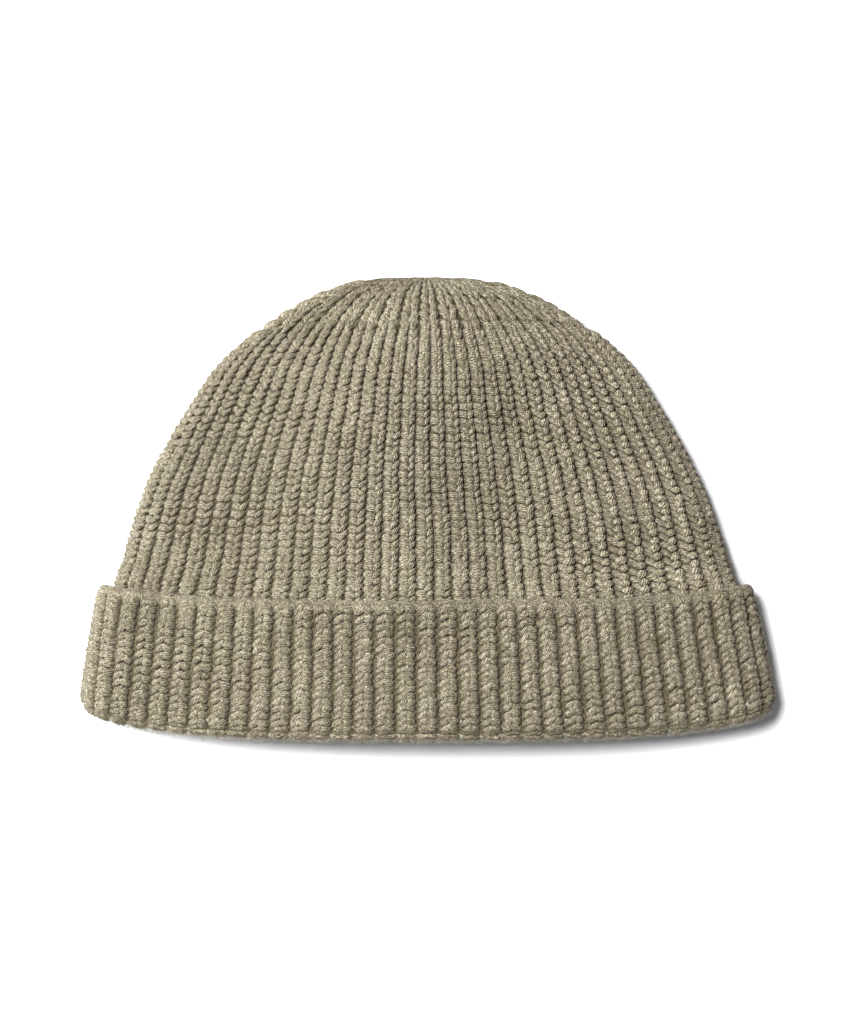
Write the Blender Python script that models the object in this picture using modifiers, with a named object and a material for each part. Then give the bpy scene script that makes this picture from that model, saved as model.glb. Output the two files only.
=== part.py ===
"""Watch cap of ribbed wool, lying on its back with the cuff turned up.

Metres, +Z up. The crown's top is at +Y and the opening for the head at -Y. The origin is at the middle of
the bottom of the cap's box, on the surface that the cap lies on.
"""

from collections import namedtuple
from math import cos, exp, pi, sin

import bmesh
import bpy
from mathutils import Vector

# Driving sizes
CAP_WIDTH = 0.240
CAP_LENGTH = 0.1606
CUFF_HEIGHT = 0.0480
KNIT_WALL = 0.0032
RIB_DEPTH = 0.0016
RIB_PAIRS = 36
CUFF_WALL = 0.0050
CUFF_EDGE_RADIUS = 0.0024
SIDE_RADIUS = 0.0110
PUFF_HEIGHT = 0.0140
MOUTH_SAG = 0.0068
BACK_SHORTFALL = 0.0040
TOP_POINT_HEIGHT = 0.0150
SIDE_LEAN = 0.0012
PIECE_GAP = 0.0004

# Below the decrease round every pair of ribs is two, above it they are one.
RIB_COUNT = 2 * RIB_PAIRS
# The fold is one whole knit wall thick, and the crown's lower edge ends just above it, inside the cuff.
FOLD_WALL = KNIT_WALL + RIB_DEPTH
# The valleys between the cuff's ribs lie at the height of the floor, so the ribs are pressed flat there.
CUFF_LIFT = PIECE_GAP + CUFF_WALL - RIB_DEPTH
BODY_HALF_WIDTH = CAP_WIDTH / 2 - PIECE_GAP - CUFF_WALL
BODY_LENGTH = CAP_LENGTH - MOUTH_SAG
# The cuff's top edge as a share of the body's length: inside it the body is lifted, above it the body lies down.
CUFF_REACH = CUFF_HEIGHT / BODY_LENGTH
# How fast the mouth's sag fades from the middle of the front towards its sides.
SAG_POWER = 3.0

# The body's outer surface, a row for each section, from the fold to the crown's top. Shares:
# reach of BODY_LENGTH, width of BODY_HALF_WIDTH, side of SIDE_RADIUS, puff of PUFF_HEIGHT,
# lift from the floor to CUFF_LIFT, climb to TOP_POINT_HEIGHT, sag of MOUTH_SAG, short of BACK_SHORTFALL,
# lean of SIDE_LEAN, rib of RIB_DEPTH.
Section = namedtuple("Section", "reach width side puff lift climb sag short lean rib")
SECTIONS = [
    Section(0.000, 1.006, 0.95, 0.93, 1.0, 0.00, 1.00, 1.0, 0.0, 0.3),
    Section(CUFF_REACH - 0.003, 0.932, 1.00, 1.00, 1.0, 0.00, 0.65, -0.3, 0.7, 0.3),
    Section(CUFF_REACH + 0.051, 0.908, 1.00, 1.02, 0.4, 0.00, 0.55, -0.1, 0.8, 1.0),
    Section(0.452, 0.872, 1.03, 1.02, 0.0, 0.00, 0.40, 0.0, 1.0, 1.0),
    Section(0.542, 0.826, 1.06, 1.00, 0.0, 0.00, 0.28, 0.0, 1.2, 1.0),
    Section(0.631, 0.765, 1.10, 0.96, 0.0, 0.00, 0.12, 0.0, 1.2, 1.0),
    Section(0.720, 0.692, 1.13, 0.90, 0.0, 0.00, 0.00, 0.0, 1.1, 1.0),
    Section(0.790, 0.630, 1.15, 0.82, 0.0, 0.00, -0.15, 0.0, 1.0, 0.9),
    Section(0.877, 0.502, 1.13, 0.62, 0.0, 0.04, -0.35, 0.0, 1.0, 0.9),
    Section(0.944, 0.362, 1.04, 0.33, 0.0, 0.18, -0.25, 0.0, 1.0, 1.0),
    Section(0.966, 0.294, 0.91, 0.19, 0.0, 0.325, -0.15, 0.0, 1.0, 1.0),
    Section(0.984, 0.224, 0.71, 0.06, 0.0, 0.51, -0.05, 0.0, 1.0, 0.8),
    Section(0.996, 0.120, 0.42, 0.00, 0.0, 0.72, 0.0, 0.0, 1.0, 0.5),
    Section(0.9995, 0.040, 0.21, 0.00, 0.0, 0.86, 0.0, 0.0, 1.0, 0.2),
]
# The row where the ribs are knitted together two by two.
DECREASE_ROW = 8

# The soft hollows and ridges of the front. across: share of BODY_HALF_WIDTH from the middle, along: share of
# BODY_LENGTH from the fold, half_width and half_length: the same shares, slant: how far across it goes for
# each step along, height: share of PUFF_HEIGHT.
Dent = namedtuple("Dent", "across along half_width half_length slant height")
DENTS = [
    Dent(0.19, 0.56, 0.17, 0.22, 0.10, -0.30),
    Dent(-0.19, 0.58, 0.16, 0.26, -0.25, 0.16),
    Dent(-0.47, 0.58, 0.12, 0.24, 0.30, -0.16),
    Dent(-0.78, 0.40, 0.12, 0.14, 0.25, -0.12),
    Dent(0.52, 0.60, 0.14, 0.25, -0.25, 0.08),
    Dent(0.02, 0.86, 0.22, 0.05, 0.00, 0.05),
]

# The cuff's wall seen end on, from its inner top edge down, round the fold and up the outside. Lengths up the
# cap are reached from the fold, lengths outwards from the body's surface. rib: share of RIB_DEPTH taken from
# the valleys outwards, scallop: the same taken upwards.
CuffPoint = namedtuple("CuffPoint", "up out rib scallop")


def cuff_outline():
    """The cuff's closed outline, one point for each ring of its mesh."""
    outside = PIECE_GAP + CUFF_WALL
    return [
        CuffPoint(CUFF_HEIGHT - CUFF_EDGE_RADIUS / 2, PIECE_GAP, 0.0, 0.0),
        CuffPoint(FOLD_WALL, PIECE_GAP, 0.0, 0.0),
        CuffPoint(FOLD_WALL, -FOLD_WALL, 0.0, 0.0),
        CuffPoint(FOLD_WALL * 0.35, -FOLD_WALL, 0.0, 0.0),
        CuffPoint(0.0, -FOLD_WALL * 0.40, 0.0, 0.6),
        CuffPoint(0.0, CUFF_WALL * 0.55, 0.0, 0.6),
        CuffPoint(FOLD_WALL * 0.60, outside, 1.0, 0.0),
        CuffPoint(CUFF_HEIGHT * 0.36, outside, 1.0, 0.0),
        CuffPoint(CUFF_HEIGHT * 0.68, outside, 1.0, 0.0),
        CuffPoint(CUFF_HEIGHT - CUFF_EDGE_RADIUS, outside, 0.6, 0.0),
        CuffPoint(CUFF_HEIGHT, outside - CUFF_EDGE_RADIUS, 0.2, 0.0),
    ]


def section_at(reach):
    """The section at a share of the body's length, between the rows of the table."""
    low, high = SECTIONS[0], SECTIONS[1]
    for low, high in zip(SECTIONS, SECTIONS[1:]):
        if reach <= high.reach:
            break
    share = (reach - low.reach) / (high.reach - low.reach)
    return Section(*(a + (b - a) * share for a, b in zip(low, high)))


def dent_depth(x, reach):
    """How far the hollows and ridges move the front at this place."""
    depth = 0.0
    for dent in DENTS:
        along = (reach - dent.along) / dent.half_length
        across = (x / BODY_HALF_WIDTH - dent.across - dent.slant * (reach - dent.along)) / dent.half_width
        depth += dent.height * PUFF_HEIGHT * exp(-(along**2) - across**2)
    return depth


def body_point(reach, turn):
    """A point of the body's outer surface. turn is its share of the way round, from the middle of the front
    over +X and the back."""
    row = section_at(reach)
    half_width = row.width * BODY_HALF_WIDTH
    side = min(row.side * SIDE_RADIUS, half_width)
    flat = half_width - side
    quarter = flat + pi * side / 2
    way = turn % 1.0 * 4 * quarter
    mirrored = way > 2 * quarter
    if mirrored:
        way = 4 * quarter - way
    if way < flat:
        x, height = way, 2 * side
    elif way < flat + pi * side:
        angle = (way - flat) / side
        x, height = flat + side * sin(angle), side + side * cos(angle)
    else:
        x, height = 2 * quarter - way, 0.0
    if mirrored:
        x = -x
    front = height / (2 * side)
    bulge = (1 - min(abs(x) / max(flat, side), 1.0) ** 2) ** 1.5
    lowest = row.lift * (CUFF_LIFT + RIB_DEPTH) - RIB_DEPTH + row.climb * (TOP_POINT_HEIGHT + RIB_DEPTH)
    z = lowest + height
    if front > 0.99:
        z += row.puff * PUFF_HEIGHT * bulge + dent_depth(x, reach) * min(2 * bulge, 1.0)
    middle = 1 - (abs(x) / half_width) ** SAG_POWER
    y = -CAP_LENGTH / 2 + MOUTH_SAG + reach * BODY_LENGTH
    y += row.short * BACK_SHORTFALL * (1 - front) - row.sag * MOUTH_SAG * middle * front
    return Vector((x - row.lean * SIDE_LEAN, y, z))


def outward(reach, turn):
    """The direction away from the cap, square to the body's surface."""
    step = 0.002
    along = body_point(min(reach + step, 1.0), turn) - body_point(max(reach - step, 0.0), turn)
    around = body_point(reach, turn + step) - body_point(reach, turn - step)
    return around.cross(along).normalized()


def first_crest(ribs):
    """Where the first rib has its crest: a doubled rib's is midway between those that it joins."""
    return 0.0 if ribs == RIB_COUNT else 0.5 / RIB_COUNT


def valley(turn, ribs):
    """0 on the crest of a rib, 1 in the valley between two."""
    return (1 - cos(2 * pi * ribs * (turn - first_crest(ribs)))) / 2


def pressed(point):
    """Nothing reaches below the floor: the ribs lie flat on it."""
    return Vector((point.x, point.y, max(point.z, 0.0)))


def place_ring(ring, ribs, point_at):
    """Moves a ring of vertices to its place. Each rib has two, its crest and its valley."""
    for number, vertex in enumerate(ring):
        vertex.co = pressed(point_at(number / len(ring) + first_crest(ribs)))


def first_ring(mesh):
    """A ring of vertices in order, with a crest and a valley for each rib."""
    made = bmesh.ops.create_circle(mesh, segments=2 * RIB_COUNT, radius=1.0)
    return made["verts"]


def next_ring(mesh, ring):
    """The ring that is extruded from this one, in the same order."""
    edges = [mesh.edges.get((a, b)) for a, b in zip(ring, ring[1:] + ring[:1])]
    made = bmesh.ops.extrude_edge_only(mesh, edges=edges)["geom"]
    new = {v for v in made if isinstance(v, bmesh.types.BMVert)}
    return [next(e.other_vert(v) for e in v.link_edges if e.other_vert(v) in new) for v in ring]


def halve_ring(mesh, ring):
    """Two ribs are knitted into one, so every second vertex joins the one before it."""
    bmesh.ops.weld_verts(mesh, targetmap={b: a for a, b in zip(ring[::2], ring[1::2])})
    return ring[::2]


def wool(name, colour):
    material = bpy.data.materials.new(name)
    material.use_nodes = True
    shader = material.node_tree.nodes["Principled BSDF"]
    shader.inputs["Base Color"].default_value = (*colour, 1.0)
    shader.inputs["Roughness"].default_value = 0.95
    shader.inputs["Metallic"].default_value = 0.0
    return material


def add_object(name, mesh, material, collection):
    """Makes the object with its faces out, from a mesh that is finished."""
    bmesh.ops.recalc_face_normals(mesh, faces=mesh.faces)
    data = bpy.data.meshes.new(name)
    mesh.to_mesh(data)
    mesh.free()
    data.materials.append(material)
    data.shade_smooth()
    made = bpy.data.objects.new(name, data)
    collection.objects.link(made)
    return made


def make_crown(collection, material):
    """The body up to the gathered top: its outer surface, thickened inwards to the knit wall."""
    mesh = bmesh.new()
    start = (FOLD_WALL + PIECE_GAP) / BODY_LENGTH
    ribs = RIB_COUNT
    ring = first_ring(mesh)
    rows = [section_at(start)._replace(reach=start)] + SECTIONS[1:]
    for number, row in enumerate(rows):
        if number:
            ring = next_ring(mesh, ring)
        if number == DECREASE_ROW + 1:
            ring = halve_ring(mesh, ring)
            ribs = RIB_PAIRS

        def point_at(turn, row=row, ribs=ribs):
            inwards = row.rib * RIB_DEPTH * valley(turn, ribs)
            return body_point(row.reach, turn) - outward(row.reach, turn) * inwards

        place_ring(ring, ribs, point_at)
    bmesh.ops.contextual_create(mesh, geom=ring)
    crown = add_object("crown", mesh, material, collection)
    wall = crown.modifiers.new("knit wall", "SOLIDIFY")
    wall.thickness = KNIT_WALL
    wall.offset = -1.0
    return crown


def make_cuff(collection, material):
    """The turned-up band: its outline carried once round the body, a ring for each point."""
    mesh = bmesh.new()
    rings = []
    for point in cuff_outline():
        rings.append(next_ring(mesh, rings[-1]) if rings else first_ring(mesh))

        def point_at(turn, point=point):
            low = RIB_DEPTH * valley(turn, RIB_COUNT)
            reach = (point.up + point.scallop * low) / BODY_LENGTH
            return body_point(reach, turn) + outward(reach, turn) * (point.out - point.rib * low)

        place_ring(rings[-1], RIB_COUNT, point_at)
    ends = [e for e in mesh.edges if e.is_boundary]
    bmesh.ops.bridge_loops(mesh, edges=ends)
    return add_object("cuff", mesh, material, collection)


def main():
    for old in list(bpy.data.objects):
        bpy.data.objects.remove(old)
    cap = bpy.data.collections.new("watch cap")
    bpy.context.scene.collection.children.link(cap)
    make_crown(cap, wool("wool, body", (0.250, 0.225, 0.165)))
    make_cuff(cap, wool("wool, cuff", (0.275, 0.250, 0.185)))


main()
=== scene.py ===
import math

import bmesh
import bpy
import numpy as np
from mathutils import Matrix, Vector


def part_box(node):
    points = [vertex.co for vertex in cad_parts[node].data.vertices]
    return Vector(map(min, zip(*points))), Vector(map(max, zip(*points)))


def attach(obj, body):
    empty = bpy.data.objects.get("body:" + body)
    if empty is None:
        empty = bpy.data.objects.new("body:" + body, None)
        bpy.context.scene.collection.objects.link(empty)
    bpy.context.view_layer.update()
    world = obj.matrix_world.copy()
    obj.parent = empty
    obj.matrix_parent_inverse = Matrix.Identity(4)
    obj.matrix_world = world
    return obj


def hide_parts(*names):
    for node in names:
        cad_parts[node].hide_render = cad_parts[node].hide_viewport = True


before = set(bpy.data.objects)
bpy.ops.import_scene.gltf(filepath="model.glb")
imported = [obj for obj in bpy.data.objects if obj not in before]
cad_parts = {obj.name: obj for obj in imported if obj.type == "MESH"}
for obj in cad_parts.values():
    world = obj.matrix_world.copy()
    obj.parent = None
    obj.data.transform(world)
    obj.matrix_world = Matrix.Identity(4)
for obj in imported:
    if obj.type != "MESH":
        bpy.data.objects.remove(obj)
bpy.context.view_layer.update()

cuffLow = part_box("cuff")[0]
mm = 0.001

# The cap as it lies: +X across, +Y from the mouth to the gathered top, +Z from its back to its front
cap = {
    "width": 240 * mm,
    "length": 160.6 * mm,
    "mouthEnd": cuffLow.y,          # the lowest point of the fold, at the middle of the front
    "cuffHeight": 48 * mm,
    "wall": 4.8 * mm,               # one layer of knit, crest to crest
    "cuffWall": 5.0 * mm,
    "pieceGap": 0.4 * mm,
    "ribDepth": 1.6 * mm,
    "proud": 0.5 * mm,              # loft of the yarn over the solid's crests
    "sideLoft": 1.5,                # and how much more of it there is round the sides
    "ribs": 72,                     # all the way round, two by two above the decrease
    "sideRadius": 11 * mm,          # how round the sides are where front turns into back
    "puff": 14 * mm,                # rise of the front's middle over its sides
    "mouthSag": 6.8 * mm,           # the fold's middle hangs this much lower than its ends,
    "sagPower": 4.0,                # by a curve of this power
    "backShort": 4 * mm,            # the back ends this much above the front
    "topHeight": 15 * mm,           # of the gathered top's end over the table
    "sideLean": 1.2 * mm,           # above the cuff it leans this much to the left
}
bodyHalfWidth = cap["width"] / 2 - cap["pieceGap"] - cap["cuffWall"]
bodyLength = cap["length"] - cap["mouthSag"]
cuffLift = cap["pieceGap"] + cap["cuffWall"] - cap["ribDepth"]

# The body's sections from the fold to the top, each a share of the size it is named for:
# reach, width, side, puff, lift, climb, sag, short, lean
sections = [
    (0.000, 1.006, 0.95, 0.93, 1.0, 0.00, 1.00, 1.0, 0.0),
    (0.309, 0.932, 1.00, 1.00, 1.0, 0.00, 0.65, -0.3, 0.7),
    (0.363, 0.908, 1.00, 1.02, 0.4, 0.00, 0.55, -0.1, 0.8),
    (0.452, 0.872, 1.03, 1.02, 0.0, 0.00, 0.40, 0.0, 1.0),
    (0.542, 0.826, 1.06, 1.00, 0.0, 0.00, 0.28, 0.0, 1.2),
    (0.631, 0.765, 1.10, 0.96, 0.0, 0.00, 0.12, 0.0, 1.2),
    (0.720, 0.692, 1.13, 0.90, 0.0, 0.00, 0.00, 0.0, 1.1),
    (0.790, 0.630, 1.15, 0.82, 0.0, 0.00, -0.15, 0.0, 1.0),
    (0.877, 0.502, 1.13, 0.62, 0.0, 0.04, -0.35, 0.0, 1.0),
    (0.944, 0.362, 1.04, 0.33, 0.0, 0.18, -0.25, 0.0, 1.0),
    (0.966, 0.294, 0.91, 0.19, 0.0, 0.325, -0.15, 0.0, 1.0),
    (0.984, 0.224, 0.71, 0.06, 0.0, 0.51, -0.05, 0.0, 1.0),
    (0.996, 0.120, 0.42, 0.00, 0.0, 0.72, 0.0, 0.0, 1.0),
    (0.9995, 0.040, 0.21, 0.00, 0.0, 0.86, 0.0, 0.0, 1.0),
    (1.0, 0.004, 0.004, 0.00, 0.0, 0.98, 0.0, 0.0, 1.0),
]
# Soft hollows and ridges of the front: across and along the body, half width, half length, slant, height
dents = [
    (0.235, 0.56, 0.165, 0.22, 0.10, -0.44),
    (-0.19, 0.58, 0.16, 0.26, -0.25, 0.16),
    (-0.47, 0.58, 0.12, 0.24, 0.30, -0.16),
    (-0.78, 0.40, 0.12, 0.14, 0.25, -0.12),
    (0.52, 0.60, 0.14, 0.25, -0.25, 0.08),
    (0.02, 0.86, 0.22, 0.05, 0.00, 0.05),
]


def smoothTable(table):
    # A curve through the rows that never swings past them
    at, values = np.array([row[0] for row in table]), np.array([row[1:] for row in table])
    steps = np.diff(at)[:, None]
    slopes = np.diff(values, axis=0) / steps
    before, after = slopes[:-1], slopes[1:]
    together = before * after > 0
    mean = 2 * before * after / np.where(together, before + after, 1)
    tangents = np.vstack([slopes[:1], np.where(together, mean, 0), slopes[-1:]])

    def read(reach):
        row = np.clip(np.searchsorted(at, reach, side="right") - 1, 0, len(at) - 2)
        step = at[row + 1] - at[row]
        t = ((reach - at[row]) / step)[:, None]
        step = step[:, None]
        # Below the first row it runs on in a straight line
        t = np.clip(t, -4, 1)
        inside = np.clip(t, 0, 1)
        rise = inside * inside * (3 - 2 * inside)
        curve = values[row] * (1 - rise) + values[row + 1] * rise
        curve += step * tangents[row] * (inside ** 3 - 2 * inside ** 2 + inside)
        curve += step * tangents[row + 1] * (inside ** 3 - inside ** 2)
        return curve + tangents[row] * step * np.minimum(t, 0)

    return read


readSections = smoothTable(sections)


def dentDepth(x, reach):
    depth = np.zeros_like(x)
    for across, along, halfWidth, halfLength, slant, height in dents:
        alongShare = (reach - along) / halfLength
        acrossShare = (x / bodyHalfWidth - across - slant * (reach - along)) / halfWidth
        depth += height * cap["puff"] * np.exp(-alongShare ** 2 - acrossShare ** 2)
    return depth


def bodyPoint(reach, turn):
    # turn is the share of the way round, from the middle of the front over +X and the back
    width, sideShare, puff, lift, climb, sag, short, lean = readSections(reach).T
    halfWidth = width * bodyHalfWidth
    side = np.minimum(sideShare * cap["sideRadius"], halfWidth)
    flat = halfWidth - side
    quarter = flat + math.pi * side / 2
    way = np.mod(turn, 1.0) * 4 * quarter
    mirrored = way > 2 * quarter
    way = np.where(mirrored, 4 * quarter - way, way)
    angle = np.clip((way - flat) / side, 0, math.pi)
    onArc = flat + side * np.sin(angle)
    x = np.where(way < flat, way, np.where(way < flat + math.pi * side, onArc, 2 * quarter - way))
    x = np.where(mirrored, -x, x)
    height = side + side * np.cos(angle)
    front = height / (2 * side)
    bulge = (1 - np.minimum(np.abs(x) / np.maximum(flat, side), 1.0) ** 2) ** 1.5
    onCuff, atTop = cuffLift + cap["ribDepth"], cap["topHeight"] + cap["ribDepth"]
    lowest = lift * onCuff - cap["ribDepth"] + climb * atTop
    raised = puff * cap["puff"] * bulge + dentDepth(x, reach) * np.minimum(2 * bulge, 1.0)
    z = lowest + height + np.where(way < flat, raised, 0)
    middle = 1 - np.minimum(np.abs(x) / halfWidth, 1.0) ** cap["sagPower"]
    y = cap["mouthEnd"] + cap["mouthSag"] + reach * bodyLength
    y = y + short * cap["backShort"] * (1 - front) - sag * cap["mouthSag"] * middle * front
    return np.stack([x - lean * cap["sideLean"], y, z], axis=1)


def wrapped(up, turn, out):
    # up: metres from the fold along the body, out: metres outwards from the crests of its ribs
    farthest, step = 0.99995, 0.0015
    reach = np.minimum(up / bodyLength, farthest)
    base = bodyPoint(reach, turn)
    along = bodyPoint(np.minimum(reach + step, farthest), turn) - bodyPoint(reach - step, turn)
    around = bodyPoint(reach, turn + step) - bodyPoint(reach, turn - step)
    normal = np.cross(around, along)
    normal /= np.maximum(np.linalg.norm(normal, axis=1, keepdims=True), 1e-12)
    proud = cap["proud"] * (1 + cap["sideLoft"] * np.abs(normal[:, 0]))
    point = base + normal * (out + proud)[:, None]
    # Yarn that would reach into the table lies pressed flat on it
    point[:, 2] = np.maximum(point[:, 2], 0.3 * mm)
    return point


# How far up the body a stitch row lies: rows are even along the middle of the front
upSamples = np.linspace(0, bodyLength * 0.9999, 2000)
frontLine = bodyPoint(upSamples / bodyLength, np.zeros_like(upSamples))
frontWay = np.concatenate([[0], np.cumsum(np.linalg.norm(np.diff(frontLine, axis=0), axis=1))])


def upAt(way):
    return np.interp(way, frontWay, upSamples) + np.minimum(way, 0)


def wayAt(up):
    return float(np.interp(up, upSamples, frontWay))


def addNode(tree, kind, settings=None, links=None):
    # A node with its settings, and its inputs set to a value or linked from another node's output
    node = tree.nodes.new("ShaderNode" + kind)
    for name, value in (settings or {}).items():
        setattr(node, name, value)
    for name, value in (links or {}).items():
        if isinstance(value, bpy.types.NodeSocket):
            tree.links.new(value, node.inputs[name])
        else:
            node.inputs[name].default_value = value
    return node


def linear(hexColour):
    parts = [int(hexColour[i:i + 2], 16) / 255 for i in (0, 2, 4)]
    return (*[c / 12.92 if c <= 0.04045 else ((c + 0.055) / 1.055) ** 2.4 for c in parts], 1.0)


def worstedWool(name, colours):
    # Worsted wool, spun and plied: matt, with a soft bloom of loose fibres that catches light at its edges
    material = bpy.data.materials.new(name)
    material.use_nodes = True
    tree = material.node_tree
    tree.nodes.clear()
    yarn = addNode(tree, "UVMap", {"uv_map": "yarn"})
    seed = addNode(tree, "Attribute", {"attribute_name": "stitchSeed"})
    depth = addNode(tree, "Attribute", {"attribute_name": "depth"})
    shift = addNode(tree, "VectorMath", {"operation": "SCALE"}, {
        0: (7.0, 13.0, 5.0), "Scale": seed.outputs["Fac"]})
    shifted = addNode(tree, "VectorMath", {"operation": "ADD"}, {0: yarn.outputs["UV"], 1: shift.outputs[0]})
    # Plies lie 0.6 mm apart and cross the yarn at 18 degrees
    turned = addNode(tree, "Mapping", {}, {
        "Vector": shifted.outputs[0], "Rotation": (0, 0, math.radians(18))})
    plies = addNode(tree, "TexWave", {"wave_type": "BANDS", "bands_direction": "Y"}, {
        "Vector": turned.outputs[0], "Scale": 0.54, "Distortion": 3.4, "Detail": 2.0, "Detail Scale": 1.3})
    place = addNode(tree, "TexCoord")
    # Fibres run with the plies, 0.3 mm wide and a millimetre long where they show, and grain blurs them
    drawn = addNode(tree, "Mapping", {}, {"Vector": turned.outputs[0], "Scale": (0.9, 3.0, 1.0)})
    fibres = addNode(tree, "TexNoise", {}, {
        "Vector": drawn.outputs[0], "Scale": 1.0, "Detail": 2.0, "Roughness": 0.65})
    grain = addNode(tree, "TexNoise", {}, {
        "Vector": place.outputs["Object"], "Scale": 2000.0, "Detail": 3.0, "Roughness": 0.7})
    # Whole patches, two centimetres wide, are a little paler or darker than the rest
    patches = addNode(tree, "TexNoise", {}, {"Vector": place.outputs["Object"], "Scale": 55.0, "Detail": 3.0})
    shade = addNode(tree, "Math", {"operation": "MULTIPLY_ADD"}, {
        0: plies.outputs["Fac"], 1: colours["plyShade"], 2: -0.5 * colours["plyShade"]})
    streak = addNode(tree, "Math", {"operation": "MULTIPLY_ADD"}, {
        0: fibres.outputs["Fac"], 1: 2.6, 2: shade.outputs[0]})
    speck = addNode(tree, "Math", {"operation": "MULTIPLY_ADD"}, {
        0: grain.outputs["Fac"], 1: 2.4, 2: streak.outputs[0]})
    stitchShade = addNode(tree, "Math", {"operation": "MULTIPLY_ADD"}, {
        0: seed.outputs["Fac"], 1: 0.16, 2: speck.outputs[0]})
    blot = addNode(tree, "Math", {"operation": "MULTIPLY_ADD"}, {
        0: patches.outputs["Fac"], 1: 0.45, 2: stitchShade.outputs[0]})
    # Together they are 2.805 on average, and the ramp's middle is at 0.5
    centred = addNode(tree, "Math", {"operation": "SUBTRACT"}, {0: blot.outputs[0], 1: 2.305})
    ramp = addNode(tree, "ValToRGB", {}, {"Fac": centred.outputs[0]})
    stops = ramp.color_ramp.elements
    stops[0].position, stops[0].color = 0.0, linear(colours["deep"])
    stops[1].position, stops[1].color = 1.0, linear(colours["light"])
    stops.new(0.5).color = linear(colours["body"])
    # Dye and wear drift a little between olive and sand, over a centimetre or two
    tint = addNode(tree, "TexNoise", {}, {"Vector": place.outputs["Object"], "Scale": 70.0, "Detail": 2.0})
    tintRamp = addNode(tree, "ValToRGB", {}, {"Fac": tint.outputs["Fac"]})
    tintStops = tintRamp.color_ramp.elements
    tintStops[0].position, tintStops[0].color = 0.35, linear(colours["olive"])
    tintStops[1].position, tintStops[1].color = 0.65, linear(colours["sand"])
    dyed = addNode(tree, "Mix", {"data_type": "RGBA", "blend_type": "MULTIPLY"}, {
        "Factor": 1.0, "A": ramp.outputs["Color"], "B": tintRamp.outputs["Color"]})
    # Painted shade: light hardly reaches the fibres at the bottom of a valley, so the colour is multiplied
    # toward the valley colour as the depth attribute deepens
    valleys = addNode(tree, "MapRange", {}, {
        "Value": depth.outputs["Fac"], "From Min": 0.30, "From Max": 0.85, "To Min": 0.0, "To Max": 1.0})
    shaded = addNode(tree, "Mix", {"data_type": "RGBA", "blend_type": "MULTIPLY"}, {
        "Factor": valleys.outputs["Result"], "A": dyed.outputs["Result"], "B": linear(colours["valley"])})
    plyBump = addNode(tree, "Bump", {}, {
        "Strength": 1.0, "Distance": 0.30 * mm, "Height": plies.outputs["Fac"]})
    nap = addNode(tree, "Math", {"operation": "MULTIPLY_ADD"}, {
        0: grain.outputs["Fac"], 1: 0.5, 2: fibres.outputs["Fac"]})
    fibreBump = addNode(tree, "Bump", {}, {
        "Strength": 1.0, "Distance": 0.50 * mm, "Height": nap.outputs[0], "Normal": plyBump.outputs[0]})
    shader = addNode(tree, "BsdfPrincipled", {}, {
        "Base Color": shaded.outputs["Result"], "Roughness": 0.92, "Normal": fibreBump.outputs[0],
        "Specular IOR Level": 0.15, "Sheen Weight": 0.25, "Sheen Roughness": 0.5,
        "Sheen Tint": linear(colours["bloom"])})
    output = addNode(tree, "OutputMaterial")
    tree.links.new(shader.outputs[0], output.inputs["Surface"])
    return material


# The valley colour of each wool is painted shade, laid into the bottoms of its valleys
khakiYarn = {
    "deep": "403824", "body": "706a58", "light": "a39e8f", "bloom": "d8d1bf",
    "olive": "fbfbf3", "sand": "fff9f5", "valley": "c2baa2", "plyShade": 0.5,
}
# Paler than the yarn: painted light for the light loose fibres catch from the white table, with a lighter
# painted valley shade
paleFibre = {
    "deep": "6a6454", "body": "9a9483", "light": "c4bfb1", "bloom": "d8d1bf",
    "olive": "fbfbf3", "sand": "fff9f5", "valley": "eee5cf", "plyShade": 0.2,
}
bodyWool = worstedWool("worsted wool, knitted body", khakiYarn)
cuffWool = worstedWool("worsted wool, turned-up cuff", khakiYarn)
innerWool = worstedWool("worsted wool, inner face", khakiYarn)
looseWool = worstedWool("worsted wool, loose fibres", paleFibre)
print("wool mixed")


def addLeg(unit, leg, cell, sides, cuts):
    # One side of a stitch: a short length of yarn, laid from its start to its end in one cell of the knit.
    # Start and end are shares of the cell, their heights and the radii are real lengths.
    mesh = bmesh.new()
    bmesh.ops.create_cone(mesh, cap_ends=True, segments=sides, radius1=1, radius2=1, depth=1)
    lengthwise = [e for e in mesh.edges if abs(e.verts[0].co.z - e.verts[1].co.z) > 0.5]
    bmesh.ops.subdivide_edges(mesh, edges=lengthwise, cuts=cuts)
    uvLayer = mesh.loops.layers.uv.new("yarn")
    start = Vector((leg["from"][0] * cell[0], leg["from"][1] * cell[1], leg["from"][2]))
    end = Vector((leg["to"][0] * cell[0], leg["to"][1] * cell[1], leg["to"][2]))
    direction = (end - start).normalized()
    across = Vector((direction.y, -direction.x, 0)).normalized()
    above = across.cross(direction)
    if above.z < 0:
        above = -above
    yarnPlace = {}
    mesh.verts.index_update()
    for v in mesh.verts:
        t = v.co.z + 0.5
        belly = 1 - (1 - leg["tip"]) * abs(2 * t - 1) ** 2.2
        side, rise = v.co.x * leg["radius"] * belly, v.co.y * leg["thick"] * belly
        yarnPlace[v.index] = (t * (end - start).length / mm, side / mm)
        spine = start.lerp(end, t) + Vector((0, 0, leg["arch"] * 4 * t * (1 - t)))
        v.co = spine + across * side + above * rise
    for face in mesh.faces:
        face.smooth = True
        for loop in face.loops:
            loop[uvLayer].uv = yarnPlace[loop.vert.index]
    bmesh.ops.recalc_face_normals(mesh, faces=mesh.faces)
    laid = bpy.data.meshes.new("leg")
    mesh.to_mesh(laid)
    mesh.free()
    unit.from_mesh(laid)
    bpy.data.meshes.remove(laid)


def stitchMesh(name, legs, cell, sides=6, cuts=3):
    unit = bmesh.new()
    for leg in legs:
        addLeg(unit, leg, cell, sides, cuts)
    data = bpy.data.meshes.new(name)
    unit.to_mesh(data)
    unit.free()
    return data


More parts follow.
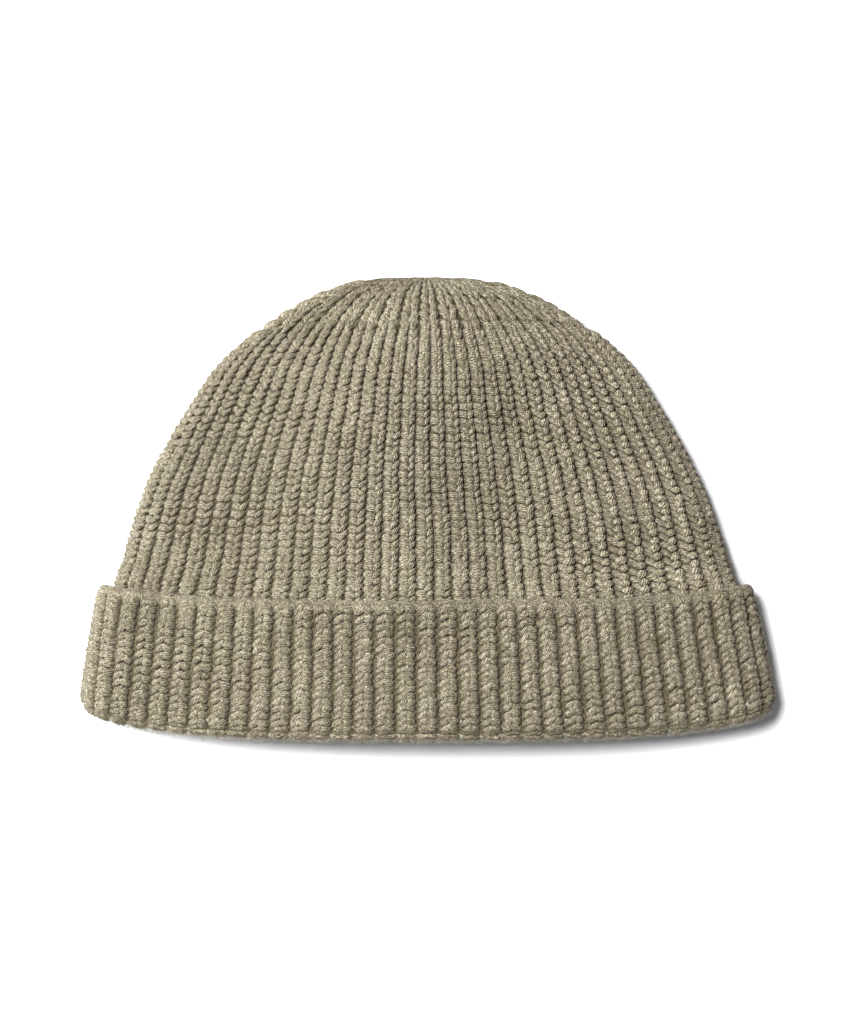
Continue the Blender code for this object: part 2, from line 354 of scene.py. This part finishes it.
def repeated(name, one, steps):
    # A mesh repeated by one array for each count and offset, with the places of all its vertices
    holder = bpy.data.objects.new(name, one)
    bpy.context.scene.collection.objects.link(holder)
    for count, offset in steps:
        repeat = holder.modifiers.new("repeat", "ARRAY")
        repeat.use_relative_offset = False
        repeat.use_constant_offset = True
        repeat.constant_offset_displace = offset
        repeat.count = count
    graph = bpy.context.evaluated_depsgraph_get()
    sheet = bpy.data.meshes.new_from_object(holder.evaluated_get(graph))
    bpy.data.objects.remove(holder)
    points = np.empty(len(sheet.vertices) * 3)
    sheet.vertices.foreach_get("co", points)
    return sheet, points


# How far one leg of a stitch differs from the next: in radians, in share of its size and in place
uneven = {"turn": 0.10, "size": 0.05, "shift": np.array([0.15, 0.13, 0.07]) * mm}


def knitCloth(name, stitch, cell, ribs, rows, seed):
    # The stitch repeated over a flat cloth by two arrays, then each leg made a little uneven.
    # The points come back about the middle of their own cell: by rib, row, leg and vertex.
    legs = 2
    sheet, points = repeated(name, stitch, ((rows, (0, cell[1], 0)), (ribs, (cell[0], 0, 0))))
    points = points.reshape(ribs, rows, legs, -1, 3)
    points[..., 0] -= (np.arange(ribs) * cell[0])[:, None, None, None]
    points[..., 1] -= (np.arange(rows) * cell[1])[None, :, None, None]
    random = np.random.default_rng(seed)
    each = (ribs, rows, legs, 1)
    middles = points.mean(axis=3, keepdims=True)
    local = points - middles
    turn = random.normal(0, uneven["turn"], each)
    x = local[..., 0] * np.cos(turn) - local[..., 1] * np.sin(turn)
    y = local[..., 0] * np.sin(turn) + local[..., 1] * np.cos(turn)
    local = np.stack([x, y, local[..., 2]], axis=4) * random.normal(1, uneven["size"], each + (1,))
    shift = random.normal(0, 1, each + (3,)) * uneven["shift"]
    seeds = np.broadcast_to(random.random(each), points.shape[:4])
    return sheet, local + middles + shift, seeds, random


def drift(random, ribs, rows, amount, smoothness):
    # A slow random drift along each rib that its neighbours share in part
    noise = random.normal(0, 1, (ribs + 8, rows + 2 * smoothness))
    window = np.hanning(2 * smoothness + 1)
    window /= np.sqrt((window ** 2).sum())
    along = np.apply_along_axis(lambda line: np.convolve(line, window, "valid"), 1, noise)
    across = np.array([1, 2, 3, 3, 3, 3, 3, 2, 1]) / np.sqrt(55)
    return np.apply_along_axis(lambda line: np.convolve(line, across, "valid"), 0, along) * amount


def finish(name, sheet, points, seeds, depths, material, node):
    sheet.name = name
    sheet.vertices.foreach_set("co", points.ravel())
    for attributeName, values in (("stitchSeed", seeds), ("depth", depths)):
        attribute = sheet.attributes.new(attributeName, "FLOAT", "POINT")
        attribute.data.foreach_set("value", values.ravel())
    sheet.materials.clear()
    sheet.materials.append(material)
    sheet.update()
    piece = bpy.data.objects.new(name, sheet)
    bpy.context.scene.collection.objects.link(piece)
    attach(piece, "root")
    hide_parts(node)
    print(name, len(sheet.polygons), "faces")
    return piece


def between(value, low, high):
    # 0 below low, 1 above high and a smooth rise from one to the other
    share = np.clip((value - low) / (high - low), 0, 1)
    return share * share * (3 - 2 * share)


def within(value, low, fullFrom, fullTo, high):
    # 0 outside low and high, and 1 from fullFrom to fullTo
    return between(value, low, fullFrom) * (1 - between(value, fullTo, high))


def flattened(heights, crest, share):
    # Heights drawn towards a crest by a share of their distance from it
    return crest + (heights - crest) * (1 - share)


# The body's stitch: its left leg is a broad pad that lies nearly level, its right leg climbs
# over the next row, and both dip into the valleys
bodyKnit = {
    "cell": (5.85 * mm, 2.5 * mm),
    "legs": [
        {"from": (-0.45, 0.15, -2.5 * mm), "to": (0.09, -0.09, -1.1 * mm), "radius": 1.46 * mm,
         "thick": 1.10 * mm, "tip": 0.80, "arch": 0.45 * mm},
        {"from": (0.02, -0.50, -1.35 * mm), "to": (0.43, 0.60, -2.5 * mm), "radius": 1.02 * mm,
         "thick": 1.15 * mm, "tip": 0.66, "arch": 0.70 * mm},
    ],
    "decreaseUp": 0.877 * bodyLength,
    "tautUp": 0.785 * bodyLength,       # above here the ribs are drawn long and narrow
    "tautFade": (5 * mm, 2 * mm),       # from so far below to so far above
    "tautRibs": 12,                     # and that reaches so many ribs to each side of the middle
    "tautStretch": 0.3,
    "askewRibs": (3, 12, 19, 25),       # counted from the middle: these are pulled askew into a plain V
    "slant": 0.50,
    "pressedRibs": (-19, -13, -5, 1),   # these lie pressed flat near the top, a little askew too
    "pressedBelow": (34 * mm, 14 * mm),
    "pressedFlat": 0.35,
    "pressedSlant": 0.6,
    "pressedClimb": 0.9,
    "padShrink": 0.12,                  # where the stitches lie askew, the pad is narrower and
    "climbLift": 0.5 * mm,              # the climbing leg higher, longer and nearer the pad
    "climbStretch": 0.2,
    "climbMiddle": 0.22,
    "climbShift": 0.03,
    "crest": -0.9 * mm,
    "sway": (0.035, 7),                 # drift round the cap, in ribs, and over how many rows
    "phase": (0.30, 9),                 # drift along the ribs, in rows, and over how many rows
    "hiddenUnderCuff": 8 * mm,
    "pairing": 7 * mm,                  # over this length the ribs close up two by two
    "pairedShrink": 0.2,
    "pairedShift": 0.34,
    "valleyDepth": 3.6 * mm,
}
bodyStitch = stitchMesh("body stitch", bodyKnit["legs"], bodyKnit["cell"])
bodyStart = wayAt(cap["cuffHeight"] - bodyKnit["hiddenUnderCuff"])
decreaseWay = wayAt(bodyKnit["decreaseUp"])
tautWay = wayAt(bodyKnit["tautUp"])
bodyRows = round((decreaseWay - bodyStart) / bodyKnit["cell"][1])


def bodyPiece(name, firstRib, ribs, seed):
    cell = bodyKnit["cell"]
    sheet, points, seeds, random = knitCloth(name, bodyStitch, cell, ribs, bodyRows, seed)
    pitch = (decreaseWay - bodyStart) / bodyRows
    rows = np.arange(bodyRows)
    sway = drift(random, ribs, bodyRows, *bodyKnit["sway"])[:, :, None, None]
    phase = drift(random, ribs, bodyRows, *bodyKnit["phase"])
    phase = (phase * (1 - between(rows, bodyRows - 4, bodyRows - 1)))[:, :, None, None]
    rib = np.arange(ribs)[:, None, None, None] + firstRib
    fromMiddle = (rib + quarterRibs) % (2 * quarterRibs) - quarterRibs
    arch = np.clip(1 - (fromMiddle / bodyKnit["tautRibs"]) ** 2, 0, 1)
    tautFrom = decreaseWay - (decreaseWay - tautWay) * arch
    rowWay = (bodyStart + rows * pitch)[None, :, None, None]
    taut = between(rowWay, tautFrom - bodyKnit["tautFade"][0], tautFrom + bodyKnit["tautFade"][1])
    askew = within(rib, *bodyKnit["askewRibs"])
    pressedFrom, pressedTo = [tautWay - below for below in bodyKnit["pressedBelow"]]
    pressed = within(rib, *bodyKnit["pressedRibs"]) * between(rowWay, pressedFrom, pressedTo)
    climbing = (askew + bodyKnit["pressedClimb"] * pressed) * np.array([0, 1])[None, None, :, None]
    fromLeg = points[..., 0] - bodyKnit["climbMiddle"] * cell[0]
    stretch = bodyKnit["climbStretch"] * fromLeg - bodyKnit["climbShift"] * cell[0]
    across = points[..., 0] + climbing * stretch
    along = points[..., 1] * (1 - bodyKnit["padShrink"] * (askew + pressed - climbing))
    along = along - bodyKnit["slant"] * (askew + bodyKnit["pressedSlant"] * pressed) * points[..., 0]
    paired = between(rowWay, decreaseWay - bodyKnit["pairing"], decreaseWay)
    turn = across / cell[0] * (1 - bodyKnit["pairedShrink"] * paired) + rib + sway
    turn = turn + (0.5 - rib % 2) * bodyKnit["pairedShift"] * paired
    row = along / cell[1] * (1 + bodyKnit["tautStretch"] * taut)
    row = row + rows[None, :, None, None] + phase + 0.5
    way = bodyStart + row * pitch
    out = flattened(points[..., 2], bodyKnit["crest"], bodyKnit["pressedFlat"] * pressed)
    out = out + bodyKnit["climbLift"] * climbing
    # How deep each leg lies in its valley: the mask for the wool's painted valley shade
    depths = np.clip(-out / bodyKnit["valleyDepth"], 0, 1)
    place = wrapped(upAt(way.ravel()), turn.ravel() / cap["ribs"], out.ravel())
    finish(name, sheet, place, seeds, depths, bodyWool, "crown")


innerKnit = {"rows": 15, "start": 5 * mm, "face": 4.6 * mm, "phase": (0.30, 5)}


def innerPiece():
    # The same rib seen from its other side: turned over, so that it faces into the hollow
    cell = bodyKnit["cell"]
    ribs, rows = cap["ribs"], innerKnit["rows"]
    sheet, points, seeds, random = knitCloth("body_inside", bodyStitch, cell, ribs, rows, 14)
    phase = drift(random, ribs, rows, *innerKnit["phase"])[:, :, None, None]
    turn = np.arange(ribs)[:, None, None, None] + 0.5 - points[..., 0] / cell[0]
    row = np.arange(rows)[None, :, None, None] + phase
    way = wayAt(innerKnit["start"]) + points[..., 1] + row * cell[1]
    # How deep each leg lies in its valley: the mask for the wool's painted valley shade
    depths = np.clip(-points[..., 2] / bodyKnit["valleyDepth"], 0, 1)
    out = -innerKnit["face"] - points[..., 2]
    place = wrapped(upAt(way.ravel()), turn.ravel() / ribs, out.ravel())
    finish("body_inside", sheet, place, seeds, depths, innerWool, "crown")


quarterRibs = cap["ribs"] // 4
innerPiece()
bodyPiece("body_front", -quarterRibs, 2 * quarterRibs, 11)
bodyPiece("body_back", quarterRibs, 2 * quarterRibs, 12)

# Above the decrease each rib is two knitted together, a fat rope that runs up to the gathered top
topKnit = {
    "cell": (6.2 * mm, 2.9 * mm),
    "legs": [
        {"from": (-0.38, 0.62, -2.9 * mm), "to": (-0.05, -0.72, -2.0 * mm), "radius": 1.36 * mm,
         "thick": 1.15 * mm, "tip": 0.7, "arch": 1.15 * mm},
        {"from": (0.07, -0.76, -2.0 * mm), "to": (0.40, 0.68, -2.9 * mm), "radius": 1.32 * mm,
         "thick": 1.15 * mm, "tip": 0.7, "arch": 1.15 * mm},
    ],
    "topUp": 0.9999 * bodyLength,
    "tuckUnder": 1.2 * mm,              # its first row starts under the narrow ribs
    "tuckedRows": (-1.0, 0.6),
    "crest": -1.1 * mm,
    "phase": (0.30, 3),
    "firstRow": -0.15,
    "gatheredRows": (3.2, 1.4),         # from the end of the top: these run flat into each other
    "gatheredFlat": 0.65,
    "valleyDepth": 3.4 * mm,
}
topStitch = stitchMesh("top stitch", topKnit["legs"], topKnit["cell"])
topWay = wayAt(topKnit["topUp"])
topRows = round((topWay - decreaseWay) / topKnit["cell"][1])
topRibs = cap["ribs"] // 2


def topPiece():
    cell = topKnit["cell"]
    sheet, points, seeds, random = knitCloth("body_top", topStitch, cell, topRibs, topRows, 13)
    rows = np.arange(topRows)[None, :, None, None]
    phase = drift(random, topRibs, topRows, *topKnit["phase"])[:, :, None, None]
    phase = phase * between(rows, -0.5, 2) * (1 - between(rows, topRows - 3, topRows - 1))
    turn = points[..., 0] / cell[0] + np.arange(topRibs)[:, None, None, None] + 0.25
    row = points[..., 1] / cell[1] + rows + topKnit["firstRow"] + phase
    way = np.minimum(decreaseWay + row * (topWay - decreaseWay) / (topRows - 0.75), topWay)
    gathered = between(row, *[topRows - fromEnd for fromEnd in topKnit["gatheredRows"]])
    out = flattened(points[..., 2], topKnit["crest"], topKnit["gatheredFlat"] * gathered)
    out = out - topKnit["tuckUnder"] * (1 - between(row, *topKnit["tuckedRows"]))
    # How deep each leg lies in its valley: the mask for the wool's painted valley shade
    depths = np.clip(-out / topKnit["valleyDepth"], 0, 1)
    place = wrapped(upAt(way.ravel()), turn.ravel() / topRibs, out.ravel())
    finish("body_top", sheet, place, seeds, depths, bodyWool, "crown")


topPiece()
print("body knitted")

# The cuff's cloth runs from inside the mouth, round the fold and up to the cast-on edge,
# so its stitches show upside down
cuffKnit = {
    "cell": (7.05 * mm, 2.33 * mm),
    "legs": [
        {"from": (0.42, -0.24, -3.1 * mm), "to": (-0.03, 0.12, -1.2 * mm), "radius": 1.38 * mm,
         "thick": 0.95 * mm, "tip": 0.78, "arch": 0.85 * mm},
        {"from": (0.08, 0.43, -1.25 * mm), "to": (-0.43, -0.66, -2.9 * mm), "radius": 1.18 * mm,
         "thick": 0.96 * mm, "tip": 0.68, "arch": 0.85 * mm},
    ],
    "sway": (0.03, 7),
    "phase": (0.28, 9),
    "insideRows": 3,
    "edgeRadius": 2.4 * mm,
    "valleyDepth": 3.6 * mm,
    "rolledEdge": 2.6 * mm,      # the cast-on edge has no valleys
    "edgeSpread": 0.12,          # at the edge and the fold the stitches are wider and flatter
    "edgeFlat": 0.7,
    "foldFade": (0.2, 0.75),     # in shares of the fold, from its middle
    "foldSpread": 0.08,
    "foldFlat": 0.5,
    "foldSunk": 0.5 * mm,
    "crest": -1.2 * mm,
    "grooveAt": 0.86,            # share of the fold where the cloth is nipped in above its rim
    "grooveWidth": 1.4 * mm,
    "grooveDepth": 0.8 * mm,
    "rimAt": 0.50,               # the outermost line of the fold, painted paler: a painted highlight for the light its loose fibres catch from the white table
    "rimWidth": 0.12,
    "rimPaintedLight": 2.5,
}
outerFace = cap["pieceGap"] + cap["cuffWall"]
foldRadius = (outerFace + cap["wall"]) / 2
foldWay = math.pi * foldRadius
outsideWay = cap["cuffHeight"] - foldRadius - cuffKnit["edgeRadius"]
edgeWay = math.pi * cuffKnit["edgeRadius"] * 0.95


def cuffPath(way, out):
    # way runs along the cloth from the inner end of the fold.
    # It gives the height up the cap and the way outwards.
    angle = np.clip(way / foldRadius, 0, math.pi)
    edgeAngle = np.clip((way - foldWay - outsideWay) / cuffKnit["edgeRadius"], 0, math.pi)
    up = foldRadius - foldRadius * np.sin(angle) - np.minimum(way, 0)
    face = outerFace - foldRadius - foldRadius * np.cos(angle)
    normalUp, normalOut = -np.sin(angle), -np.cos(angle)
    straight = np.clip(way - foldWay, 0, outsideWay)
    up = up + straight + cuffKnit["edgeRadius"] * np.sin(edgeAngle)
    face = face - cuffKnit["edgeRadius"] * (1 - np.cos(edgeAngle))
    atEdge = edgeAngle > 0
    normalUp = np.where(atEdge, np.sin(edgeAngle), normalUp)
    normalOut = np.where(atEdge, np.cos(edgeAngle), normalOut)
    return up + normalUp * out, face + normalOut * out


def evenTurn(turn):
    # The cuff lies outside the body, so its ribs stay evenly apart only if they spread
    # more along its flat faces and less round its sides
    flat, side, outside = 100 * mm, 10.7 * mm, 4.5 * mm
    outer = np.cumsum([0, flat, math.pi * (side + outside), flat])
    inner = np.cumsum([0, flat, math.pi * side, flat])
    share = np.mod(turn, 1.0)
    half = np.minimum(share, 1 - share)
    even = np.interp(half * 2 * outer[-1], outer, inner) / (2 * inner[-1])
    return np.floor(turn) + np.where(share > 0.5, 1 - even, even)


cuffWay = foldWay + outsideWay + edgeWay
cuffRows = round(cuffWay / cuffKnit["cell"][1]) + cuffKnit["insideRows"]
cuffStitch = stitchMesh("cuff stitch", cuffKnit["legs"], cuffKnit["cell"])


def groove(way):
    fromGroove = way - cuffKnit["grooveAt"] * foldWay
    return cuffKnit["grooveDepth"] * np.exp(-(fromGroove / cuffKnit["grooveWidth"]) ** 2)


def cuffPiece(name, firstRib, ribs, seed):
    cell = cuffKnit["cell"]
    sheet, points, seeds, random = knitCloth(name, cuffStitch, cell, ribs, cuffRows, seed)
    pitch = cuffWay / (cuffRows - cuffKnit["insideRows"])
    rows = np.arange(cuffRows) - cuffKnit["insideRows"] + 0.5
    rowWay = (rows * pitch)[None, :, None, None]
    edge = between(rowWay, cuffWay - edgeWay - cuffKnit["rolledEdge"], cuffWay - edgeWay)
    fold = 1 - between(np.abs(rowWay - foldWay / 2), *[foldWay * share for share in cuffKnit["foldFade"]])
    sway = drift(random, ribs, cuffRows, *cuffKnit["sway"])[:, :, None, None]
    phase = drift(random, ribs, cuffRows, *cuffKnit["phase"])[:, :, None, None] * (1 - edge)
    turn = points[..., 0] / cell[0] * (1 + cuffKnit["edgeSpread"] * edge + cuffKnit["foldSpread"] * fold)
    turn = turn + np.arange(ribs)[:, None, None, None] + sway + firstRib
    way = (points[..., 1] / cell[1] + phase) * pitch + rowWay
    flat = cuffKnit["edgeFlat"] * edge + cuffKnit["foldFlat"] * fold
    out = flattened(points[..., 2], cuffKnit["crest"], flat) - groove(way) - cuffKnit["foldSunk"] * fold
    # How deep each leg lies in its valley: the mask for the wool's painted valley shade
    depths = np.clip(-out / cuffKnit["valleyDepth"], 0, 1)
    # Painted highlight: along the rim the seeds are raised so the wool is paler, and its painted valley shade
    # is taken away
    rim = np.exp(-((way / foldWay - cuffKnit["rimAt"]) / cuffKnit["rimWidth"]) ** 2)
    seeds, depths = seeds + cuffKnit["rimPaintedLight"] * rim, depths * (1 - rim)
    up, out = cuffPath(way.ravel(), out.ravel())
    place = wrapped(up, evenTurn(turn.ravel() / cap["ribs"]), out)
    finish(name, sheet, place, seeds, depths, cuffWool, "cuff")


cuffPiece("cuff_front", -quarterRibs, 2 * quarterRibs, 21)
cuffPiece("cuff_back", quarterRibs, 2 * quarterRibs, 22)
print("cuff knitted")

# The purl side behind the stitches: a plain layer of the same wool, half way through the wall
backing = {
    "depth": 2.9 * mm, "thickness": 0.5 * mm, "around": 144,
    "bodyFrom": 4 * mm, "bodyRows": 60, "cuffRows": 40,
    "girth": 480,                # of the whole cap, in the millimetres of the yarn's own coordinates
}


def backingPiece(name, rows, around, length, shade, place, material, node):
    # A layer once round the cap: length is how far it runs up the cap, in millimetres, and
    # shade is how deep in a valley its wool is taken to lie, which sets how much painted valley shade it
    # takes
    mesh = bmesh.new()
    bmesh.ops.create_grid(mesh, x_segments=rows, y_segments=around, size=0.5)
    uvLayer = mesh.loops.layers.uv.new("yarn")
    for face in mesh.faces:
        face.smooth = True
        for loop in face.loops:
            loop[uvLayer].uv = (loop.vert.co.x * length, loop.vert.co.y * backing["girth"])
    data = bpy.data.meshes.new(name)
    mesh.verts.ensure_lookup_table()
    grid = np.array([v.co for v in mesh.verts])
    points = place(grid[:, 0] + 0.5, grid[:, 1] + 0.5)
    for v, point in zip(mesh.verts, points):
        v.co = point
    bmesh.ops.remove_doubles(mesh, verts=mesh.verts, dist=0.01 * mm)
    bmesh.ops.recalc_face_normals(mesh, faces=mesh.faces)
    mesh.to_mesh(data)
    mesh.free()
    count = len(data.vertices)
    points = np.empty(count * 3)
    data.vertices.foreach_get("co", points)
    piece = finish(name, data, points, np.full(count, 0.4), np.full(count, shade), material, node)
    wall = piece.modifiers.new("backing wall", "SOLIDIFY")
    wall.thickness = backing["thickness"]
    wall.offset = 0


def bodyBacking(share, turn):
    start = wayAt(backing["bodyFrom"])
    way = start + share * (topWay - start)
    return wrapped(upAt(way), turn, np.full(len(share), -backing["depth"]))


def cuffBacking(share, turn):
    up, out = cuffPath(share * cuffWay, np.full(len(share), -backing["depth"]))
    return wrapped(up, turn, out)


# Where the cuff is cast on and where it folds, the cloth is drawn out smooth and its valleys run out
band = {
    "rows": 14, "around": 432, "edgeWidth": 3.6 * mm, "edgeOut": -1.45 * mm,
    "foldReach": 1.2, "foldOut": -2.2 * mm, "hidden": -3.0 * mm, "uneven": 0.16 * mm,
}
bandRandom = np.random.default_rng(31)


def edgeBand(share, turn):
    start = cuffWay - edgeWay - band["edgeWidth"]
    way = start + share * (cuffWay - start)
    rise = between(way, start, start + 0.85 * band["edgeWidth"])
    ripple = bandRandom.normal(0, band["uneven"], len(share))
    up, out = cuffPath(way, band["hidden"] * (1 - rise) + band["edgeOut"] * rise + ripple)
    return wrapped(up, turn, out)


def foldBand(share, turn):
    way = share * band["foldReach"] * foldWay
    rise = within(share, 0.05, 0.35, 0.5, 0.8)
    ripple = bandRandom.normal(0, band["uneven"], len(share))
    up, out = cuffPath(way, band["hidden"] * (1 - rise) + band["foldOut"] * rise + ripple - groove(way))
    return wrapped(up, turn, out)


backingPiece("cuff_edge", band["rows"], band["around"], 12, 0.1, edgeBand, cuffWool, "cuff")
# The fold's band takes the paler loose-fibre wool: painted light where the fold turns under
backingPiece("cuff_fold", band["rows"], band["around"], 18, 0.3, foldBand, looseWool, "cuff")
# The backings take nearly the full painted valley shade, so the gaps between the stitches show dark
backingPiece("body_backing", backing["bodyRows"], backing["around"], 160, 0.8, bodyBacking, innerWool,
             "crown")
backingPiece("cuff_backing", backing["cuffRows"], backing["around"], 75, 0.8, cuffBacking, innerWool,
             "cuff")
print("backing laid")

# Loose fibres stand off the yarn and blur its edges: each roots in a stitch, lies along the knit
# and lifts its tip
fuzz = {
    "radius": 0.045 * mm, "shortest": 1.6 * mm, "longest": 4.2 * mm, "root": -0.9 * mm, "lift": 1.5 * mm,
    "bodyCount": 2600, "cuffCount": 2000, "reachRound": 0.31, "bend": 0.4, "leastLift": 0.5,
    "clearOfTop": 7 * mm,        # none of them stands up over the gathered top
    "foldCount": 2400,           # the fold's rim has short ones, side by side
    "foldFrom": 0.35, "foldReach": 0.35, "foldSize": 0.55, "foldSunk": 0.8 * mm,
}


def girthAt(reach):
    width, sideShare = readSections(reach).T[:2]
    halfWidth = width * bodyHalfWidth
    side = np.minimum(sideShare * cap["sideRadius"], halfWidth)
    return 4 * (halfWidth - side) + 2 * math.pi * side


def fuzzPiece(name, count, place, reach, material, node, seed, size=1.0):
    # Single fibres, rooted anywhere between the start of place and reach, a length along the knit
    hair = bmesh.new()
    bmesh.ops.create_cone(hair, cap_ends=True, segments=3, radius1=1, radius2=0.4, depth=1)
    lengthwise = [e for e in hair.edges if abs(e.verts[0].co.z - e.verts[1].co.z) > 0.5]
    bmesh.ops.subdivide_edges(hair, edges=lengthwise, cuts=2)
    uvLayer = hair.loops.layers.uv.new("yarn")
    for face in hair.faces:
        for loop in face.loops:
            loop[uvLayer].uv = (loop.vert.co.z, loop.vert.co.x * 0.05)
    data = bpy.data.meshes.new(name)
    hair.to_mesh(data)
    hair.free()
    sheet, points = repeated(name, data, [(count, (0, 0, 0))])
    points = points.reshape(count, -1, 3)
    random = np.random.default_rng(seed)
    each = (count, 1)
    share = points[..., 2] + 0.5
    length = random.uniform(fuzz["shortest"], fuzz["longest"], each) * size
    heading = random.uniform(0, 2 * math.pi, each)
    bend = random.normal(0, fuzz["bend"], each) * length
    run = share * length
    aside = bend * share ** 2 + points[..., 0] * fuzz["radius"]
    across = run * np.cos(heading) - aside * np.sin(heading)
    along = run * np.sin(heading) + aside * np.cos(heading)
    lift = random.uniform(fuzz["leastLift"], 1.0, each) * fuzz["lift"]
    out = fuzz["root"] + lift * np.sin(share * math.pi / 2) + points[..., 1] * fuzz["radius"]
    turn = random.uniform(-fuzz["reachRound"], fuzz["reachRound"], each)
    way = np.clip(random.uniform(0, reach, each) + along, 0, reach)
    seeds = np.broadcast_to(random.uniform(0.5, 1, each), share.shape)
    points = place(way.ravel(), turn, across, out.ravel())
    finish(name, sheet, points, seeds, np.zeros(share.shape), material, node)


def bodyFuzz(way, turn, across, out):
    up = upAt(bodyStart + way)
    around = turn + across / girthAt(up / bodyLength).reshape(across.shape)
    return wrapped(up, around.ravel(), out)


def cuffFuzz(way, turn, across, out):
    up, out = cuffPath(way, out)
    around = turn + across / girthAt(np.clip(up / bodyLength, 0, 1)).reshape(across.shape)
    return wrapped(up, around.ravel(), out)


def foldFuzz(way, turn, across, out):
    return cuffFuzz(way + fuzz["foldFrom"] * foldWay, turn, across, out - fuzz["foldSunk"])


fuzzPiece("body_fuzz", fuzz["bodyCount"], bodyFuzz, topWay - bodyStart - fuzz["clearOfTop"], bodyWool,
          "crown", 41)
fuzzPiece("cuff_fuzz", fuzz["cuffCount"], cuffFuzz, cuffWay, cuffWool, "cuff", 42)
# The fold's fibres take the paler loose-fibre wool too: painted light along the rim
fuzzPiece("fold_fuzz", fuzz["foldCount"], foldFuzz, foldWay * fuzz["foldReach"], looseWool,
          "cuff", 43, fuzz["foldSize"])
print("loose fibres raised")

# A plain pale table, lit by a broad soft light from the upper left and by the white room
studio = {
    "distance": 1.6,
    "pixelsPerMm": 2.908,
    "framePixels": 1024,
    "capMiddle": (-0.5 * mm, -1.2 * mm),
    "capHeight": 22 * mm,
    "sensor": 36.0,
}
table = bpy.data.meshes.new("table")
mesh = bmesh.new()
bmesh.ops.create_grid(mesh, x_segments=1, y_segments=1, size=3)
mesh.to_mesh(table)
mesh.free()
tableTop = bpy.data.objects.new("table", table)
bpy.context.scene.collection.objects.link(tableTop)
paint = bpy.data.materials.new("matt white board")
paint.use_nodes = True
paint.node_tree.nodes["Principled BSDF"].inputs["Base Color"].default_value = linear("f4f4f6")
paint.node_tree.nodes["Principled BSDF"].inputs["Roughness"].default_value = 0.9
table.materials.append(paint)

camera = bpy.data.objects.new("camera", bpy.data.cameras.new("camera"))
bpy.context.scene.collection.objects.link(camera)
camera.location = (*studio["capMiddle"], studio["capHeight"] + studio["distance"])
camera.data.sensor_width = studio["sensor"]
frameHeight = studio["framePixels"] / studio["pixelsPerMm"] * mm
camera.data.lens = studio["sensor"] * studio["distance"] / frameHeight
camera.data.clip_end = 20
bpy.context.scene.camera = camera


def addSoftLight(name, place, size, power):
    light = bpy.data.lights.new(name, "AREA")
    light.shape = "DISK"
    light.size = size
    light.energy = power
    lamp = bpy.data.objects.new(name, light)
    bpy.context.scene.collection.objects.link(lamp)
    lamp.location = place
    lamp.rotation_euler = (-Vector(place)).to_track_quat("-Z", "Y").to_euler()


addSoftLight("key", (-0.48, 0.33, 1.85), 0.65, 93)
addSoftLight("side light", (-1.45, 0.40, 0.75), 0.7, 43)
room = bpy.data.worlds.new("white room")
room.use_nodes = True
room.node_tree.nodes["Background"].inputs["Color"].default_value = linear("f7f8fc")
room.node_tree.nodes["Background"].inputs["Strength"].default_value = 0.19
bpy.context.scene.world = room
bpy.context.scene.view_settings.view_transform = "Standard"
print("studio lit")
